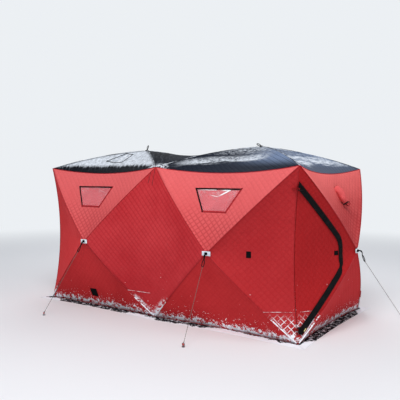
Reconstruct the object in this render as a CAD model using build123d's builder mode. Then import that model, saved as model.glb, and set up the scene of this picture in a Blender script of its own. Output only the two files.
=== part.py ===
from build123d import *
import os

os.makedirs("parts", exist_ok=True)

# Driving dimensions, millimetres
length = 3600
width = 1800
wall_height = 1750
hub_height = 850
wall_pop = 275
roof_pop = 262
eave_pull = 70
corner_pull = 68
door_corner_pull = 86
base_pull = 40
fabric = 5
skirt_thick = 3
skirt_width = 120
hub_lift = 1.15
boss_radius = 26
core_radius = 48
core_depth = 34
core_thick = 26
pole_radius = 5.5
pole_depth = 46
pocket_radius = 32
plate_long = 105
plate_high = 48
window_drop = 242
window_high = 232
window_top_half = 280
window_bottom_half = 146
window_slide = {(-1, -1): -60, (1, -1): -25, (-1, 1): 0, (1, 1): 0}
skylight = [(-290, -490), (-40, -475), (-90, -195), (-180, -215)]
door_drop = 148
door_bottom = 48
door_short = 247
door_nose = 220
door_gap = 5
flap_half = 28
flap_clear = 5.2
flap_skin = 2.6
rope_radius = 2.6
strap_reach = 70
loop_long = 78
loop_wide = 26
anchor_out = 713
anchor_slide = {("side", -1, -1): -211, ("side", 1, -1): 37, ("side", 1, 1): 211, ("side", -1, 1): -37,
                ("end", 1): 420, ("end", -1): 420}
vent_share = 0.22
vent_side = 80

half_l = length / 2
half_w = width / 2
bay = length / 2

# Each net point has a place and the direction in which the skin grows outward there
corner_top = {}
corner_low = {}
for sx in (-1, 0, 1):
    for sy in (-1, 1):
        corner_top[sx, sy] = (Vector(sx * half_l, sy * half_w, wall_height), Vector(sx, sy, 1))
        corner_low[sx, sy] = (Vector(sx * half_l, sy * half_w, skirt_thick), Vector(sx, sy, 0))
hubs = {}
for sx in (-1, 1):
    hubs["roof", sx] = (Vector(sx * bay / 2, 0, wall_height + roof_pop), Vector(0, 0, hub_lift))
    hubs["end", sx] = (Vector(sx * (half_l + wall_pop), 0, hub_height), Vector(sx * hub_lift, 0, 0))
    for sy in (-1, 1):
        hubs["side", sx, sy] = (Vector(sx * bay / 2, sy * (half_w + wall_pop), hub_height),
                                Vector(0, sy * hub_lift, 0))


# A seam is two end points and the place and growth direction of its sagging middle
def seam(a, b, pull, grow):
    return a, b, (a[0] + b[0]) * 0.5 + pull, grow


def eave_side(left, right, sy):
    return seam(corner_top[left, sy], corner_top[right, sy], Vector(0, -sy, -1) * eave_pull, Vector(0, sy, 1))


def eave_end(sx):
    return seam(corner_top[sx, -1], corner_top[sx, 1], Vector(-sx, 0, -1) * eave_pull, Vector(sx, 0, 1))


def base_side(left, right, sy):
    return seam(corner_low[left, sy], corner_low[right, sy], Vector(0, -sy, 0) * base_pull, Vector(0, sy, 0))


def base_end(sx):
    return seam(corner_low[sx, -1], corner_low[sx, 1], Vector(-sx, 0, 0) * base_pull, Vector(sx, 0, 0))


# The zips draw the door corner in more than the other three
def upright(sx, sy):
    pull = door_corner_pull if (sx, sy) == (1, -1) else corner_pull
    return seam(corner_low[sx, sy], corner_top[sx, sy], Vector(-sx, -sy, 0) * pull, Vector(sx, sy, 0))


def shell_solid(faces):
    return Solid(Shell(faces))


# A fan of cloth from a hub to a seam, between two skin heights, from share near to share far
def fan(hub, line, top=0, under=-fabric, near=0.012, far=1):
    rims = []
    for rise in (top, under):
        apex = hub[0] + hub[1] * rise
        ends = (line[0][0] + line[0][1] * rise, line[2] + line[3] * rise, line[1][0] + line[1][1] * rise)
        arcs = []
        for share in (near, far):
            a, m, b = [apex + (p - apex) * share for p in ends]
            arcs.append((Edge.make_three_point_arc(a, m, b), a, b))
        rims.append(arcs)
    (near_top, near_a, near_b), (far_top, far_a, far_b) = rims[0]
    (near_low, low_a, low_b), (far_low, out_a, out_b) = rims[1]
    ruled = Face.make_surface_from_curves
    return shell_solid([
        ruled(near_top, far_top), ruled(near_low, far_low),
        ruled(near_top, near_low), ruled(far_top, far_low),
        ruled(Edge.make_line(near_a, far_a), Edge.make_line(low_a, out_a)),
        ruled(Edge.make_line(near_b, far_b), Edge.make_line(low_b, out_b))])


# A saddle of cloth stretched over four straight poles
def saddle(first, second, third, fourth, top=0, under=-fabric):
    ruled = Face.make_surface_from_curves
    sets = []
    for rise in (top, under):
        sets.append([p[0] + p[1] * rise for p in (first, second, third, fourth)])
    up, low = sets
    faces = []
    for a, b, c, d in (up, low):
        faces.append(ruled(Edge.make_line(a, b), Edge.make_line(d, c)))
    for i in range(4):
        j = (i + 1) % 4
        faces.append(ruled(Edge.make_line(up[i], up[j]), Edge.make_line(low[i], low[j])))
    return shell_solid(faces)


def hub_plane(hub):
    return Plane(origin=hub[0], z_dir=hub[1])


# Round hole where a hub boss comes through the cloth
def boss_space(hub):
    return hub_plane(hub) * Pos(0, 0, -30) * Cylinder(boss_radius, 100)


def outline(plane, points, grow=0):
    with BuildSketch(plane) as face:
        with BuildLine():
            Polyline(*points, close=True)
        make_face()
        if grow:
            offset(amount=grow, kind=Kind.INTERSECTION)
    return face.sketch


# Windows sit in the upper triangle of each bay, front and back
window_top = wall_height - window_drop
window_prisms = {}
for sx in (-1, 1):
    for sy in (-1, 1):
        for grow in (0, 16, -5, 24):
            centre = sx * bay / 2 + window_slide[sx, sy]
            sheet = outline(Plane(origin=(centre, 0, 0), x_dir=(1, 0, 0), z_dir=(0, -1, 0)),
                            [(-window_bottom_half, window_top - window_high),
                             (window_bottom_half, window_top - window_high),
                             (window_top_half, window_top), (-window_top_half, window_top)], grow)
            window_prisms[sx, sy, grow] = extrude(sheet, amount=-sy * 2 * half_w)

panels = {}
for side, sy in (("front", -1), ("back", 1)):
    for word, sx, left, right in (("left", -1, -1, 0), ("right", 1, 0, 1)):
        hub = hubs["side", sx, sy]
        panels[side + "_upper_" + word] = (fan(hub, eave_side(left, right, sy)) - boss_space(hub)
                                           - window_prisms[sx, sy, 0])
        panels[side + "_lower_" + word] = fan(hub, base_side(left, right, sy)) - boss_space(hub)
        crown = hubs["roof", sx]
        panels["roof_" + side + "_" + word] = fan(crown, eave_side(left, right, sy)) - boss_space(crown)
    panels[side + "_diamond"] = (saddle(hubs["side", -1, sy], corner_top[0, sy], hubs["side", 1, sy],
                                        corner_low[0, sy])
                                 - boss_space(hubs["side", -1, sy]) - boss_space(hubs["side", 1, sy]))
for word, sx in (("left", -1), ("right", 1)):
    hub = hubs["end", sx]
    panels["end_upper_" + word] = fan(hub, eave_end(sx)) - boss_space(hub)
    panels["end_lower_" + word] = fan(hub, base_end(sx)) - boss_space(hub)
    panels["roof_end_" + word] = fan(hubs["roof", sx], eave_end(sx)) - boss_space(hubs["roof", sx])
panels["roof_diamond"] = (saddle(hubs["roof", -1], corner_top[0, -1], hubs["roof", 1], corner_top[0, 1])
                          - boss_space(hubs["roof", -1]) - boss_space(hubs["roof", 1]))
for side, sy in (("front", -1), ("back", 1)):
    for word, sx in (("left", -1), ("right", 1)):
        a = fan(hubs["side", sx, sy], upright(sx, sy)) - boss_space(hubs["side", sx, sy])
        if (sx, sy) == (1, -1):
            panels["corner_front_right"] = a
            door_wall = fan(hubs["end", sx], upright(sx, sy)) - boss_space(hubs["end", sx])
        else:
            b = fan(hubs["end", sx], upright(sx, sy)) - boss_space(hubs["end", sx])
            panels["corner_" + side + "_" + word] = a + b


def keep(name, *solids):
    with BuildPart() as piece:
        for solid in solids:
            add(solid)
    piece.part.label = name
    export_step(piece.part, "parts/" + name + ".step")


# Roof window in the front left slope
roof_prisms = {}
for grow in (0, 14, -5):
    sheet = outline(Plane(origin=(-bay / 2, 0, 0), x_dir=(1, 0, 0), z_dir=(0, 0, 1)), skylight, grow)
    roof_prisms[grow] = extrude(sheet, amount=3000)
panels["roof_front_left"] = panels["roof_front_left"] - roof_prisms[0]

# The doorway is drawn in the flat plane between the door corner and the end hub
door_span = (half_w ** 2 + wall_pop ** 2) ** 0.5
door_plane = Plane(origin=(half_l, -half_w, 0), x_dir=(wall_pop, half_w, 0), z_dir=(half_w, -wall_pop, 0))
door_hub = hubs["end", 1]
door_seam = upright(1, -1)
door_top = wall_height - door_drop
door_reach = door_span - door_short
upper_slope = 0.966 * (wall_height - hub_height) / door_span
lower_slope = hub_height / door_span


def door_prism(grow):
    with BuildSketch(door_plane) as face:
        with BuildLine():
            Polyline((-150, door_top + 150 * upper_slope), (-150, door_bottom - 150 * lower_slope),
                     (door_reach, door_bottom + door_reach * lower_slope),
                     (door_reach, door_top - door_reach * upper_slope), close=True)
        make_face()
        fillet(face.vertices().group_by(Axis.X)[-1], door_nose)
        if grow:
            offset(amount=grow)
    return extrude(face.sketch, amount=600, both=True)


opening = door_prism(door_gap / 2)
leaf = door_prism(-door_gap / 2)
flap_out = door_prism(flap_half)
flap_in = door_prism(-flap_half)
door_wall = door_wall - opening
half_space = Box(6000, 6000, 3000, align=(Align.CENTER, Align.CENTER, Align.MIN))
keep("door_surround_upper", door_wall & (Pos(0, 0, hub_height) * half_space))
keep("door_surround_lower", door_wall & (Pos(0, 0, hub_height - 3000) * half_space))
door_far = 1 - (door_gap + 1.5) / door_span
keep("door_panel", fan(door_hub, door_seam, 0, -fabric, 0.05, door_far) & leaf)
flap_top = flap_clear + flap_skin
flap_seat = fan(door_hub, door_seam, flap_top, 0, 0.05, door_far) & (leaf - flap_in)
flap_cover = fan(door_hub, door_seam, flap_top, flap_clear, 0.05, door_far) & (flap_out - flap_in)
patch = door_plane * Pos(630, hub_height - 2, 0) * Box(56, 45, 600)

# Two pin hinges at the door corner: ears on the leaf turn on pins held by tabs on the front skin
hinge_x = half_l - 2
hinge_y = -half_w + 2


def hinge_sketch(plane):
    rim = [(-4, -8), (-5, 0), (0, 5), (6, 4), (84, -22), (84, -70), (30, -70), (30, -30)]
    with BuildSketch(plane) as face:
        with BuildLine():
            Polyline(*[(x, -y) for x, y in rim], close=True)
        make_face()
    return face.sketch


door_side = Plane(origin=(half_l, -half_w, 0), x_dir=(wall_pop, half_w, 0), z_dir=(0, 0, 1))
front_side = Plane(origin=(half_l, -half_w, 0), x_dir=(-half_w, -wall_pop, 0), z_dir=(0, 0, -1))
door_body = fan(door_hub, door_seam, 0, -90, 0.05)
front_body = fan(hubs["side", 1, -1], door_seam, 0, -90, 0.05)
ears, tabs = [], []
for ear_low, tab_low, pin_low in ((door_top - 102, door_top - 84, door_top - 105), (150, 132, 136)):
    ear = Pos(0, 0, ear_low) * extrude(hinge_sketch(door_side), amount=14) - door_body - front_body
    ears.append(ear - Pos(hinge_x, hinge_y, ear_low) * Cylinder(3.35, 60))
    tab = Pos(0, 0, tab_low) * extrude(hinge_sketch(front_side), amount=-14) - front_body - door_body
    tabs.append(tab + Pos(hinge_x, hinge_y, pin_low) * Cylinder(3, 32, align=(Align.CENTER, Align.CENTER, Align.MIN)))
keep("hinge_tabs", *tabs)
keep("door_storm_flap", flap_seat + flap_cover + ears[0] + ears[1],
     fan(door_hub, door_seam, 2.2, 0, 0.05, door_far) & (patch & flap_in))
tab = door_plane * Pos(96, door_bottom + 96 * lower_slope, 0) * Rot(0, 0, 42) * Box(44, 12, 600)
keep("zip_pull", fan(door_hub, door_seam, flap_top + 3, flap_top, 0.05, door_far) & tab)

for name, solid in panels.items():
    keep(name, solid)

# Clear panes, their dark tape and the cloth covers closed behind them
panes, tapes, covers = [], [], []
for sx in (-1, 1):
    for sy in (-1, 1):
        hub = hubs["side", sx, sy]
        line = eave_side(min(sx, 0), max(sx, 0), sy)
        hem = Pos(0, 0, window_top - window_high - 3000) * half_space
        panes.append(fan(hub, line, -1.5, -3.5) & window_prisms[sx, sy, 0])
        tapes.append((fan(hub, line, 1.4, 0) & (window_prisms[sx, sy, 16] - window_prisms[sx, sy, -5])) - hem)
        covers.append(fan(hub, line, -fabric, -fabric - 1.6) & window_prisms[sx, sy, 24])
roof_hub = hubs["roof", -1]
roof_line = eave_side(-1, 0, -1)
panes.append(fan(roof_hub, roof_line, -1.5, -3.5) & roof_prisms[0])
tapes.append(fan(roof_hub, roof_line, 1.4, 0) & (roof_prisms[14] - roof_prisms[-5]))
keep("window_panes", *panes)
keep("window_covers", *covers)
wall_patch_plane = Plane(origin=(half_l, -half_w, 0), x_dir=(half_w, wall_pop, 0), z_dir=(wall_pop, -half_w, 0))
wall_patch = wall_patch_plane * Pos(-507, hub_height + 3, 0) * Box(50, 67, 600)
tapes.append(fan(hubs["side", 1, -1], door_seam, 2.2, 0) & wall_patch)
low_vent = outline(Plane(origin=(-bay / 2, 0, 0), x_dir=(1, 0, 0), z_dir=(0, -1, 0)),
                   [(-135, 220), (-25, 224), (-22, 118), (-130, 124)])
vent_prism = extrude(low_vent, amount=2 * half_w)
tapes.append(fan(hubs["side", -1, -1], base_side(-1, 0, -1), 1.8, 0) & vent_prism)
keep("black_tapes", *tapes)

# Hubs, poles and the pockets that hold the pole tips
def hub_point(hub):
    return hub[0] - hub[1].normalized() * pole_depth


pocket_inset = {"top": 36, "top_mid": 36, "low": 36, "low_mid": 36}


def pocket_point(kind, corner):
    return corner[0] - corner[1] * pocket_inset[kind]


pockets = {}
for (sx, sy), corner in corner_top.items():
    pockets["top", sx, sy] = pocket_point("top" if sx else "top_mid", corner)
for (sx, sy), corner in corner_low.items():
    pockets["low", sx, sy] = pocket_point("low" if sx else "low_mid", corner) + Vector(0, 0, pocket_radius)
rods = []
for key, hub in hubs.items():
    sx = key[1]
    if key[0] == "side":
        ends = [(level, x, key[2]) for level in ("top", "low") for x in (min(sx, 0), max(sx, 0))]
    elif key[0] == "end":
        ends = [(level, sx, y) for level in ("top", "low") for y in (-1, 1)]
    else:
        ends = [("top", x, y) for x in (min(sx, 0), max(sx, 0)) for y in (-1, 1)]
    for end in ends:
        start = hub_point(hub)
        run = (pockets[end] - start)
        aim = run.normalized()
        rod = Plane(origin=start + aim * 22, z_dir=aim) * Cylinder(
            pole_radius, run.length - 22 - 16, align=(Align.CENTER, Align.CENTER, Align.MIN))
        rods.append((key, end, rod))
keep("poles", *[rod for key, end, rod in rods])
up = (Align.CENTER, Align.CENTER, Align.MIN)
cores = []
for key, hub in hubs.items():
    base = hub_plane(hub) * Pos(0, 0, -core_depth - core_thick)
    core = base * Cylinder(core_radius, core_thick, align=up) + base * Cylinder(
        boss_radius, core_depth + core_thick + 2, align=up)
    for owner, end, rod in rods:
        if owner == key:
            core = core - rod
    cores.append(core)
keep("hub_blocks", *cores)
balls = []
for end, place in pockets.items():
    ball = Pos(*place) * Sphere(pocket_radius)
    for owner, tip, rod in rods:
        if tip == end:
            ball = ball - rod
    balls.append(ball)
keep("corner_pockets", *balls)

# Pull straps, guy ropes and ice anchors at the six wall hubs
anchor_spots = {}
for key, slide in anchor_slide.items():
    if key[0] == "side":
        anchor_spots[key] = (hubs[key][0].X + slide, key[2] * (half_w + anchor_out))
    else:
        anchor_spots[key] = (key[1] * (half_l + anchor_out - 13), slide)
ring_high = 26
plates, straps, ropes, toggles, anchors = [], [], [], [], []
for key, (x, y) in anchor_spots.items():
    hub = hubs[key]
    side = hub_plane(hub)
    axis = hub[1].normalized()
    flat = Plane(origin=hub[0], x_dir=Vector(0, 0, 1).cross(axis), z_dir=axis)
    plates.append(flat * Pos(0, 0, 3) * Box(plate_long, plate_high, 2))
    knot_at = hub[0] + axis * 10
    ring_at = Vector(x, y, ring_high)
    run = ring_at - knot_at
    aim = run.normalized()
    face_out = (axis - aim * axis.dot(aim)).normalized()
    line = Plane(origin=knot_at, x_dir=aim, z_dir=face_out)
    knot = flat * Pos(0, 0, 10) * Box(30, 24, 12)
    web = line * Pos(strap_reach / 2, 0, 0) * Box(strap_reach, 20, 4)
    with BuildPart(line) as loop:
        with BuildSketch(line):
            with Locations((strap_reach - 6 + loop_long / 2, 0)):
                SlotOverall(loop_long, loop_wide)
                SlotOverall(loop_long - 12, loop_wide - 12, mode=Mode.SUBTRACT)
        extrude(amount=2, both=True)
    straps.append(((knot + web) - (flat * Pos(0, 0, -20) * Box(400, 400, 48))) + loop.part)
    tie = knot_at + aim * (strap_reach - 6 + loop_long)
    rope = Plane(origin=tie, z_dir=aim) * Cylinder(rope_radius, (ring_at - tie).length, align=up)
    ropes.append(rope)
    toggles.append(Pos(*ring_at) * Sphere(11) - rope)
    level_aim = Vector(aim.X, aim.Y, 0).normalized()
    ring = Plane(origin=ring_at, z_dir=level_aim) * Torus(14, 3)
    anchors.append(ring + Pos(x, y, 0) * Cylinder(4, 12, align=up) + Pos(x, y, 0) * Cylinder(16, 6, align=up))
for sx in (-1, 1):
    top = hubs["roof", sx][0]
    lean = Plane(origin=top + Vector(0, 0, 2), x_dir=(-0.62, 0, 0.78), z_dir=(0, -1, 0))
    with BuildPart() as loop:
        with BuildSketch(lean):
            with Locations((36, 0)):
                SlotOverall(72, 34)
                SlotOverall(60, 22, mode=Mode.SUBTRACT)
        extrude(amount=3, both=True)
    foot = Pos(top.X, 0, top.Z + 5) * Box(34, 22, 6)
    straps.append(foot + (loop.part - Pos(top.X, 0, top.Z) * Box(200, 60, 4)))
keep("hub_plates", *plates)
keep("pull_straps", *straps)
keep("guy_ropes", *[r for r in ropes])
keep("rope_toggles", *toggles)
keep("ice_anchors", *anchors)

# Snow skirt laid out flat round the foot of the walls
inner = 12
with BuildPart() as skirt_sides:
    for sy in (-1, 1):
        with BuildSketch() as face:
            with BuildLine():
                rim = sy * half_w - sy * inner
                edge = sy * half_w + sy * skirt_width
                ThreePointArc((-half_l + inner, rim), (-bay / 2, rim - sy * base_pull), (0, rim))
                ThreePointArc((0, rim), (bay / 2, rim - sy * base_pull), (half_l - inner, rim))
                Line((half_l - inner, rim), (half_l + skirt_width, edge))
                ThreePointArc((half_l + skirt_width, edge), (bay / 2, edge - sy * base_pull), (0, edge))
                ThreePointArc((0, edge), (-bay / 2, edge - sy * base_pull), (-half_l - skirt_width, edge))
                Line((-half_l - skirt_width, edge), (-half_l + inner, rim))
            make_face()
        extrude(amount=skirt_thick)
with BuildPart() as skirt_ends:
    for sx in (-1, 1):
        with BuildSketch() as face:
            with BuildLine():
                rim = sx * half_l - sx * inner
                edge = sx * half_l + sx * skirt_width
                ThreePointArc((rim, -half_w + inner), (rim - sx * base_pull, 0), (rim, half_w - inner))
                Line((rim, half_w - inner), (edge, half_w + skirt_width))
                ThreePointArc((edge, half_w + skirt_width), (edge - sx * base_pull, 0),
                              (edge, -half_w - skirt_width))
                Line((edge, -half_w - skirt_width), (rim, -half_w + inner))
            make_face()
        extrude(amount=skirt_thick)
skirt_sides.part.label = "skirt_sides"
export_step(skirt_sides.part, "parts/skirt_sides.step")
skirt_ends.part.label = "skirt_ends"
export_step(skirt_ends.part, "parts/skirt_ends.step")

# Ventilation sleeve that hangs from the upper end wall, tied near its mouth
eave_middle = eave_end(1)[2]
vent_root = eave_middle + (hubs["end", 1][0] - eave_middle) * vent_share + Vector(0, vent_side, 0)
stations = []
for shift, aim, radius in (((-30, 0, 22), (0.9, 0, -0.45), 56), ((24, 0, -10), (0.7, 0, -0.8), 54),
                           ((52, 1, -54), (0.5, 0.02, -1), 48), ((80, 3, -104), (0.55, 0.05, -1), 40),
                           ((110, 5, -140), (0.8, 0.05, -1), 17), ((134, 6, -164), (0.9, 0.05, -1), 29)):
    stations.append((vent_root + Vector(*shift), Vector(*aim), radius))
with BuildPart() as sleeve:
    for place, aim, radius in stations:
        with BuildSketch(Plane(origin=place, z_dir=aim)):
            Circle(radius)
    loft()
inside_wall = fan(hubs["end", 1], eave_end(1), 0, -400, 0.02)
keep("vent_sleeve", sleeve.part - inside_wall)
tie_plane = Plane(origin=stations[4][0], z_dir=stations[4][1])
with BuildPart(tie_plane) as tie_cord:
    Cylinder(20.5, 12)
keep("vent_tie", tie_cord.part - sleeve.part)
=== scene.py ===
import bpy
import bmesh
import math
from mathutils import Matrix, Vector, noise


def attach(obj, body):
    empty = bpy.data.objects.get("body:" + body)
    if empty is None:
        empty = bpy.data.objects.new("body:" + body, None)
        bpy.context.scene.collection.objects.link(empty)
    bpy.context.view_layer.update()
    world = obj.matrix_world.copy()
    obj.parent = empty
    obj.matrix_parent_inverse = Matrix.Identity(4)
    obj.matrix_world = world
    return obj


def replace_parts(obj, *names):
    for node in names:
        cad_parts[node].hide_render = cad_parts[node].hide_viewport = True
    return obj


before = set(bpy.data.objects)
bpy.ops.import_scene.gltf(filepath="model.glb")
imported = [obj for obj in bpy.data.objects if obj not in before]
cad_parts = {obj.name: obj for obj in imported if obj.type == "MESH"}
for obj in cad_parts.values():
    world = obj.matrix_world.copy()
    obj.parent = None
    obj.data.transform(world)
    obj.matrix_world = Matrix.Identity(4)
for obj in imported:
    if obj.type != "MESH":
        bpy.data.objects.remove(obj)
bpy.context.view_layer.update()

# Where the shelter is looked at from: near eye height, off the door corner, with a normal lens.
# A pale floor, a white surround and wide soft lamps stand in for a bright overcast day.
film_wide, picture_wide, focal_pixels, eye_at = 36, 400, 528.4, (3.921, -5.65, 1.6)
turn, tip, roll = (math.radians(x) for x in (34.733, 2.123, 0.318))
back = Vector((math.sin(turn) * math.cos(tip), -math.cos(turn) * math.cos(tip), math.sin(tip)))
side = Vector((0, 0, 1)).cross(back).normalized()
above = back.cross(side)
lens = bpy.data.cameras.new("view")
lens.sensor_width = film_wide
lens.lens = focal_pixels * film_wide / picture_wide
eye = bpy.data.objects.new("view", lens)
eye_x = side * math.cos(roll) + above * math.sin(roll)
eye_y = above * math.cos(roll) - side * math.sin(roll)
eye.matrix_world = Matrix.Translation(eye_at) @ Matrix((eye_x, eye_y, back)).transposed().to_4x4()
bpy.context.collection.objects.link(eye)
bpy.context.scene.camera = eye
bpy.context.scene.view_settings.view_transform = "Standard"


class Reading:
    """A number on a material's socket, so sums on it read as sums."""

    def __init__(self, dye, socket):
        self.dye = dye
        self.socket = socket

    def sum(self, kind, *others):
        return self.dye.add("Math", {"operation": kind}, dict(enumerate((self, *others))))

    def __add__(self, other):
        return self.sum("ADD", other)

    __radd__ = __add__

    def __mul__(self, other):
        return self.sum("MULTIPLY", other)

    __rmul__ = __mul__

    def __sub__(self, other):
        return self.sum("SUBTRACT", other)

    def __rsub__(self, other):
        return self.dye.add("Math", {"operation": "SUBTRACT"}, {0: other, 1: self})

    def __truediv__(self, other):
        return self.sum("DIVIDE", other)

    def __pow__(self, other):
        return self.sum("POWER", other)

    def __abs__(self):
        return self.sum("ABSOLUTE")

    def wave(self):
        return self.sum("SINE")

    def least(self, other):
        return self.sum("MINIMUM", other)

    def most(self, other):
        return self.sum("MAXIMUM", other)

    def fade(self, low, high):
        return self.dye.add("MapRange", {"interpolation_type": "SMOOTHSTEP"},
                            {"Value": self, "From Min": low, "From Max": high})


class Dye:
    """One finish: a material with its shader, and the one way nodes are added to it."""

    def __init__(self, name, slot=None, **facts):
        self.slot = slot
        self.material = bpy.data.materials.new(name)
        self.material.use_nodes = True
        self.tree = self.material.node_tree
        self.shader = self.tree.nodes["Principled BSDF"]
        for key, value in facts.items():
            socket = self.shader.inputs[key.replace("_", " ")]
            socket.default_value = (*value, 1) if isinstance(value, tuple) else value

    def add(self, kind, settings=None, sockets=None, out=0):
        node = self.tree.nodes.new("ShaderNode" + kind)
        for key, value in (settings or {}).items():
            setattr(node, key, value)
        for key, value in (sockets or {}).items():
            socket = node.inputs[key]
            if isinstance(value, Reading):
                self.tree.links.new(value.socket, socket)
            elif isinstance(value, tuple) and len(value) == 3 and len(socket.default_value) == 4:
                socket.default_value = (*value, 1)
            else:
                socket.default_value = value
        return Reading(self, node.outputs[out])

    def blend(self, amount, first, second):
        return self.add("Mix", {"data_type": "RGBA"}, {0: amount, 6: first, 7: second}, out=2)

    def place(self, kind="Object"):
        return self.add("TexCoord", out={"Object": 3, "UV": 2}[kind])

    def axes(self, spot):
        return [self.add("SeparateXYZ", None, {0: spot}, out=i) for i in range(3)]

    def stretch(self, spot, scale, turned=(0, 0, 0)):
        return self.add("Mapping", None, {"Vector": spot, "Scale": scale, "Rotation": turned})

    def mottle(self, spot, scale, detail=4, rough=0.5, bend=0.0):
        return self.add("TexNoise", None, {"Vector": spot, "Scale": scale, "Detail": detail, "Roughness": rough,
                                           "Distortion": bend})

    def wear(self, **links):
        for key, value in links.items():
            self.tree.links.new(value.socket, self.shader.inputs[key.replace("_", " ")])

    def relief(self, height, depth, strength=1.0):
        self.wear(Normal=self.add("Bump", None, {"Height": height, "Distance": depth, "Strength": strength}))


def hang(name, bm, dye, body="root", smooth=True):
    mesh = bpy.data.meshes.new(name)
    bm.to_mesh(mesh)
    bm.free()
    piece = bpy.data.objects.new(name, mesh)
    bpy.context.collection.objects.link(piece)
    mesh.materials.append(dye.material)
    if smooth:
        mesh.polygons.foreach_set("use_smooth", [True] * len(mesh.polygons))
    if body:
        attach(piece, body)
    return piece


haze = (0.84, 0.87, 0.90)
sky_tint, sky_strength = (0.88, 0.92, 1.0), 0.38
floor_dye = Dye("pale_floor", Base_Color=(0.80, 0.81, 0.83), Roughness=0.9)
fx, fy, _ = floor_dye.axes(floor_dye.place())
far_off = ((fx * fx + fy * fy) ** 0.5).fade(5.5, 12.0)
rays = [floor_dye.add("LightPath", out=key) for key in ("Is Camera Ray", "Is Glossy Ray", "Is Transmission Ray")]
bright = floor_dye.add("Emission", None, {"Color": haze})
lit = Reading(floor_dye, floor_dye.shader.outputs[0])
ground = floor_dye.add("MixShader", None, {0: far_off * rays[0].most(rays[1]).most(rays[2]), 1: lit, 2: bright})
floor_dye.tree.links.new(ground.socket, floor_dye.tree.nodes["Material Output"].inputs[0])
bm = bmesh.new()
bmesh.ops.create_grid(bm, x_segments=1, y_segments=1, size=45)
hang("floor", bm, floor_dye, None, False)
world = bpy.data.worlds.new("overcast")
bpy.context.scene.world = world
world.use_nodes = True
sky = world.node_tree
glow = sky.nodes["Background"]
glow.inputs[0].default_value = (*sky_tint, 1)
glow.inputs[1].default_value = sky_strength
seen = sky.nodes.new("ShaderNodeBackground")
seen.inputs[0].default_value = (*haze, 1)
path = sky.nodes.new("ShaderNodeLightPath")
most = [sky.nodes.new("ShaderNodeMath") for _ in range(2)]
pick = sky.nodes.new("ShaderNodeMixShader")
for node in most:
    node.operation = "MAXIMUM"
for source, target in ((path.outputs["Is Camera Ray"], most[0].inputs[0]),
                       (path.outputs["Is Glossy Ray"], most[0].inputs[1]),
                       (path.outputs["Is Transmission Ray"], most[1].inputs[0]),
                       (most[0].outputs[0], most[1].inputs[1]), (most[1].outputs[0], pick.inputs[0]),
                       (glow.outputs[0], pick.inputs[1]), (seen.outputs[0], pick.inputs[2]),
                       (pick.outputs[0], sky.nodes["World Output"].inputs[0])):
    sky.links.new(source, target)
for name, spot, size, power in (("sky_front", (3.2, -5.6, 8.6), 5.5, 680), ("sky_back", (-4.5, 6.5, 7.5), 6, 260),
                                ("sky_side", (8.0, 1.5, 6.5), 5, 130)):
    lamp = bpy.data.lights.new(name, "AREA")
    lamp.shape = "DISK"
    lamp.size = size
    lamp.energy = power
    lamp_piece = bpy.data.objects.new(name, lamp)
    lamp_piece.location = spot
    lamp_piece.rotation_euler = (Vector(spot) - Vector((0, 0, 0.8))).to_track_quat("Z", "Y").to_euler()
    bpy.context.collection.objects.link(lamp_piece)

# Quilted shell: two cloths with wadding between, sewn together in diamonds about 5 cm across.
# Each wall is cut as triangles and squares that meet at the poles and at the sagging seams.
half_l, half_w, wall_high, hub_high = 1.8, 0.9, 1.75, 0.85
wall_pop, roof_pop, foot = 0.275, 0.262, 0.003
eave_pull, base_pull, corner_pull, door_corner_pull = 0.070, 0.040, 0.068, 0.086
bay = half_l
hub_grow = 1.15
crown = {(sx, sy): (Vector((sx * half_l, sy * half_w, wall_high)), Vector((sx, sy, 1)))
         for sx in (-1, 0, 1) for sy in (-1, 1)}
toe = {(sx, sy): (Vector((sx * half_l, sy * half_w, foot)), Vector((sx, sy, 0)))
       for sx in (-1, 0, 1) for sy in (-1, 1)}
hub = {}
for sx in (-1, 1):
    hub["roof", sx] = (Vector((sx * bay / 2, 0, wall_high + roof_pop)), Vector((0, 0, hub_grow)))
    hub["end", sx] = (Vector((sx * (half_l + wall_pop), 0, hub_high)), Vector((sx * hub_grow, 0, 0)))
    for sy in (-1, 1):
        hub["side", sx, sy] = (Vector((sx * bay / 2, sy * (half_w + wall_pop), hub_high)),
                               Vector((0, sy * hub_grow, 0)))


def sag(a, b, pull, grow):
    return a, b, ((a[0] + b[0]) * 0.5 + pull, grow)


def eave_side(left, right, sy):
    return sag(crown[left, sy], crown[right, sy], Vector((0, -sy, -1)) * eave_pull, Vector((0, sy, 1)))


def eave_end(sx):
    return sag(crown[sx, -1], crown[sx, 1], Vector((-sx, 0, -1)) * eave_pull, Vector((sx, 0, 1)))


def base_side(left, right, sy):
    return sag(toe[left, sy], toe[right, sy], Vector((0, -sy, 0)) * base_pull, Vector((0, sy, 0)))


def base_end(sx):
    return sag(toe[sx, -1], toe[sx, 1], Vector((-sx, 0, 0)) * base_pull, Vector((sx, 0, 0)))


def upright(sx, sy):
    pull = door_corner_pull if (sx, sy) == (1, -1) else corner_pull
    return sag(toe[sx, sy], crown[sx, sy], Vector((-sx, -sy, 0)) * pull, Vector((sx, sy, 0)))


def on_seam(line, a, rise=0.0):
    p, q, m = (point + grow * rise for point, grow in line)
    return p.lerp(q, a) + (m - (p + q) * 0.5) * (4 * a * (1 - a))


pole_bow = 0.038


def fan_place(top, line):
    """The poles spring outwards between hub and corner, and the cloth between them follows less."""
    def place(a, s, rise=0.0):
        apex = top[0] + top[1] * rise
        spring = pole_bow * 4 * s * (1 - s) * (abs(1 - a) ** 3 + abs(a) ** 3)
        return apex.lerp(on_seam(line, a, rise), s) + top[1].normalized() * spring
    return place


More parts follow.
